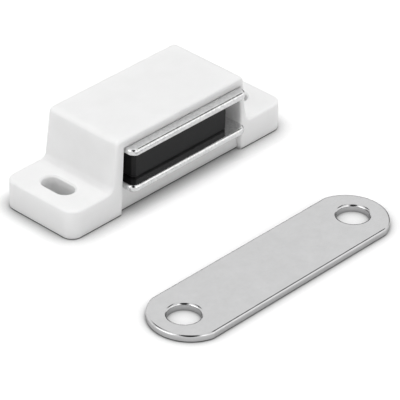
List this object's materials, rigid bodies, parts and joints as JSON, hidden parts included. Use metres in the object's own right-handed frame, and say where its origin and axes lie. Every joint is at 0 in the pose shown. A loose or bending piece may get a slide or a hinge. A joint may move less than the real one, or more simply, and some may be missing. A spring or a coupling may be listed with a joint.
{
  "type": "magnetic cupboard catch",
  "caption": "Small magnetic catch for a cupboard door: moulded housing with slotted ears, steel pole plates round a ferrite magnet, and a flat striker plate with round holes.",
  "frame": {"origin": "centre of the housing's base, on the surface it is screwed to", "axes": "+X along the housing from ear to ear, -Y out of the open front where the pole plates show, +Z away from the base"},
  "size_m": [0.054, 0.046, 0.0132],
  "materials": {
    "housing_plastic": "white moulded plastic, semi-gloss",
    "pole_steel": "nickel-plated steel with rolled bright edges",
    "ferrite": "pressed ferrite, dark grey and slightly grainy",
    "striker_steel": "nickel-plated sheet steel, satin"
  },
  "bodies": {
    "root": {"housing": "housing_plastic", "lower_pole_plate": "pole_steel", "magnet": "ferrite", "upper_pole_plate": "pole_steel", "striker_plate": "striker_steel"}
  },
  "joints": []
}
